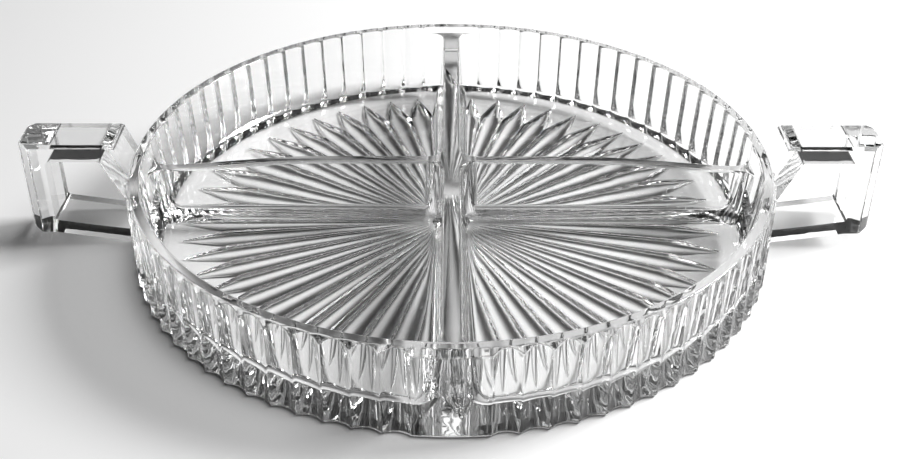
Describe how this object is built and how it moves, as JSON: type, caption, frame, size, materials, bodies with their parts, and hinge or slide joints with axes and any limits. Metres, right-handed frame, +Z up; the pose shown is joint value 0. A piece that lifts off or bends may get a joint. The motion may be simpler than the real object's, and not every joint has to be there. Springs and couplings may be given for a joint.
{
  "type": "relish tray",
  "caption": "Round relish tray of clear pressed glass with compartments between crossed dividers, a fluted wall, a star under the floor and open square handles.",
  "frame": {"origin": "middle of the round foot, on the table plane", "axes": "+X to the right handle, +Y to the back along the long divider, +Z up"},
  "size_m": [0.3046, 0.228, 0.0394],
  "materials": {
    "clear_glass": "polished"
  },
  "bodies": {
    "root": {"ray_floor": "clear_glass", "wall_front_right": "clear_glass", "wall_back_right": "clear_glass", "wall_back_left": "clear_glass", "wall_front_left": "clear_glass", "long_divider": "clear_glass", "cross_divider_left": "clear_glass", "cross_divider_right": "clear_glass", "handle_left": "clear_glass", "handle_right": "clear_glass"}
  },
  "joints": []
}
